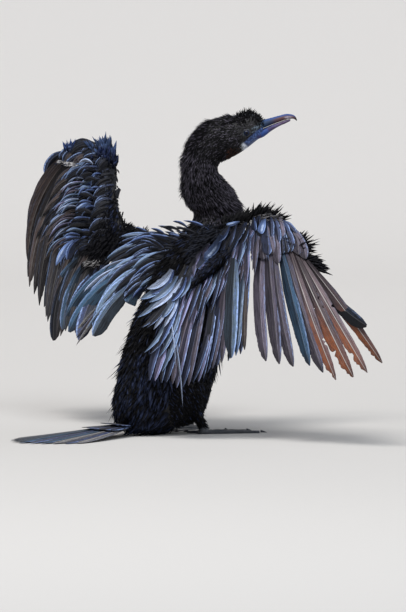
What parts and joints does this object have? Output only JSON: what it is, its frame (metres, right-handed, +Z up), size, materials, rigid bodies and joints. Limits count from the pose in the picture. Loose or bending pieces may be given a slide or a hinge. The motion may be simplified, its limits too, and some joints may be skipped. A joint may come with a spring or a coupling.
{
  "type": "cormorant",
  "caption": "Life-size still model of a little cormorant standing upright and drying its spread wings, head turned to its right, tail laid back on the floor.",
  "frame": {"origin": "on the floor, under the middle of the whole model's box", "axes": "+X the way the body faces, +Y the bird's left, +Z up"},
  "size_m": [0.2812, 0.464, 0.2989],
  "materials": {
    "plumage": "near-black body feathers, soft and slightly damp",
    "flight_feathers": "slate grey-brown vanes with a blue gloss, pale shafts and rufous worn edges",
    "bill": "horn, slate blue above and pinkish brown at the sides",
    "eye": "wet, dark, glossy",
    "foot_skin": "blue-black scaly skin with thin webs"
  },
  "bodies": {
    "root": {"torso": "plumage", "neck_lower": "plumage", "neck_upper": "plumage", "head": "plumage", "bill_upper": "bill", "bill_lower": "bill", "eye_left": "eye", "eye_right": "eye", "leg_left": "plumage", "leg_right": "plumage", "foot_left": "foot_skin", "foot_right": "foot_skin", "upper_arm_left": "flight_feathers", "upper_arm_right": "flight_feathers", "forearm_left": "flight_feathers", "forearm_right": "flight_feathers", "hand_left": "flight_feathers", "hand_right": "flight_feathers", "tail": "flight_feathers"}
  },
  "joints": []
}
